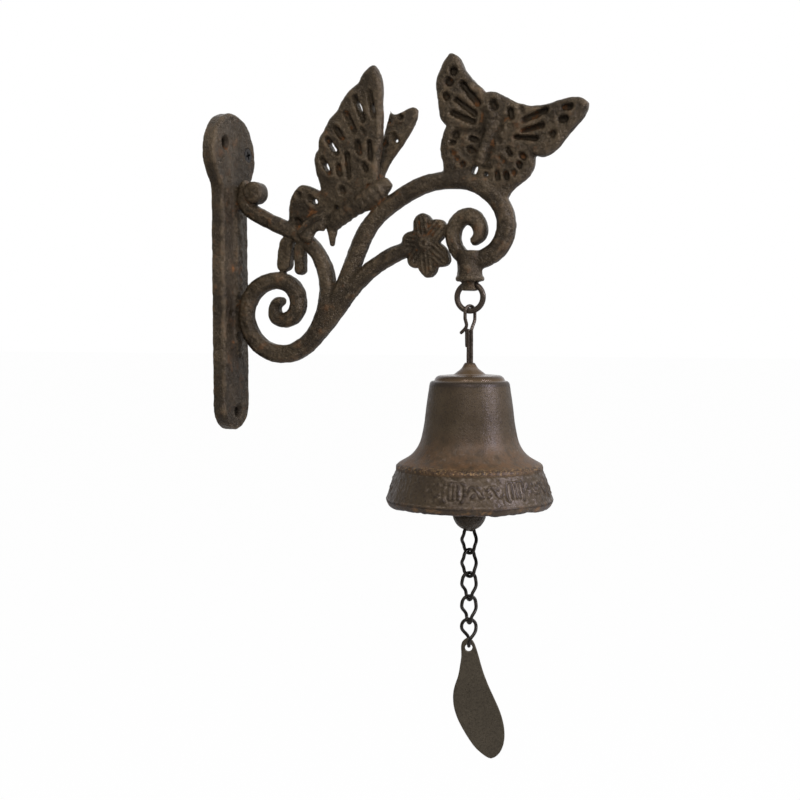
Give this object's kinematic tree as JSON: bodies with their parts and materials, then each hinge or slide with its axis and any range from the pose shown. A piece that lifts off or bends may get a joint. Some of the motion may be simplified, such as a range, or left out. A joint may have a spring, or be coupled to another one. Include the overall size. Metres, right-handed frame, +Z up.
{
  "type": "wall bell",
  "caption": "Cast-iron wall bell: scrolled bracket with butterflies and a flower, a bell that hangs from a ring, a swinging clapper and a chain with a flat pull.",
  "frame": {"origin": "middle of the wall plate's back face", "axes": "+X out of the wall, +Z up, the viewer of the picture stands on the -Y side"},
  "size_m": [0.2136, 0.0898, 0.3774],
  "materials": {
    "iron": "rough, lightly rusted",
    "bell_iron": "dark olive brown, lightly rusted",
    "wire": "dark drawn wire",
    "screw": "black",
    "pull_sheet": "dark olive brown sheet"
  },
  "bodies": {
    "bracket": {"bracket_casting": "iron", "wall_screw": "screw"},
    "ring": {"hanging_ring": "wire"},
    "bell": {"bell": "bell_iron", "hanger_wire": "wire", "crown_washer": "iron"},
    "clapper": {"clapper_rod": "wire", "clapper_ball": "iron"},
    "link_1": {"chain_link_1": "wire"},
    "link_2": {"chain_link_2": "wire"},
    "link_3": {"chain_link_3": "wire"},
    "link_4": {"chain_link_4": "wire"},
    "link_5": {"chain_link_5": "wire"},
    "pull": {"pull_tab": "pull_sheet"}
  },
  "joints": [
    {"name": "ring_swing", "type": "hinge", "parent": "bracket", "child": "ring", "pos_m": [0.1506, 0, -0.00825], "axis": [1, 0, 0], "range_deg": [-45, 45]},
    {"name": "bell_swing", "type": "hinge", "parent": "ring", "child": "bell", "pos_m": [0.1506, 0, -0.0155], "axis": [0, 1, 0], "range_deg": [-35, 35]},
    {"name": "clapper_swing", "type": "hinge", "parent": "bell", "child": "clapper", "pos_m": [0.1506, 0, -0.06895], "axis": [0, 1, 0], "range_deg": [-29, 29]},
    {"name": "link_1_swing", "type": "hinge", "parent": "clapper", "child": "link_1", "pos_m": [0.1506, 0, -0.14175], "axis": [0.9026, -0.4305, 0], "range_deg": [-30, 30]},
    {"name": "link_2_swing", "type": "hinge", "parent": "link_1", "child": "link_2", "pos_m": [0.1506, 0, -0.14865], "axis": [0.4305, 0.9026, 0], "range_deg": [-30, 30]},
    {"name": "link_3_swing", "type": "hinge", "parent": "link_2", "child": "link_3", "pos_m": [0.1506, 0, -0.16705], "axis": [0.7009, -0.7133, 0], "range_deg": [-30, 30]},
    {"name": "link_4_swing", "type": "hinge", "parent": "link_3", "child": "link_4", "pos_m": [0.1506, 0, -0.17395], "axis": [0.7133, 0.7009, 0], "range_deg": [-30, 30]},
    {"name": "link_5_swing", "type": "hinge", "parent": "link_4", "child": "link_5", "pos_m": [0.1506, 0, -0.19235], "axis": [0.3746, -0.9272, 0], "range_deg": [-30, 30]},
    {"name": "pull_swing", "type": "hinge", "parent": "link_5", "child": "pull", "pos_m": [0.1506, 0, -0.19925], "axis": [0.9272, 0.3746, 0], "range_deg": [-30, 30]}
  ]
}
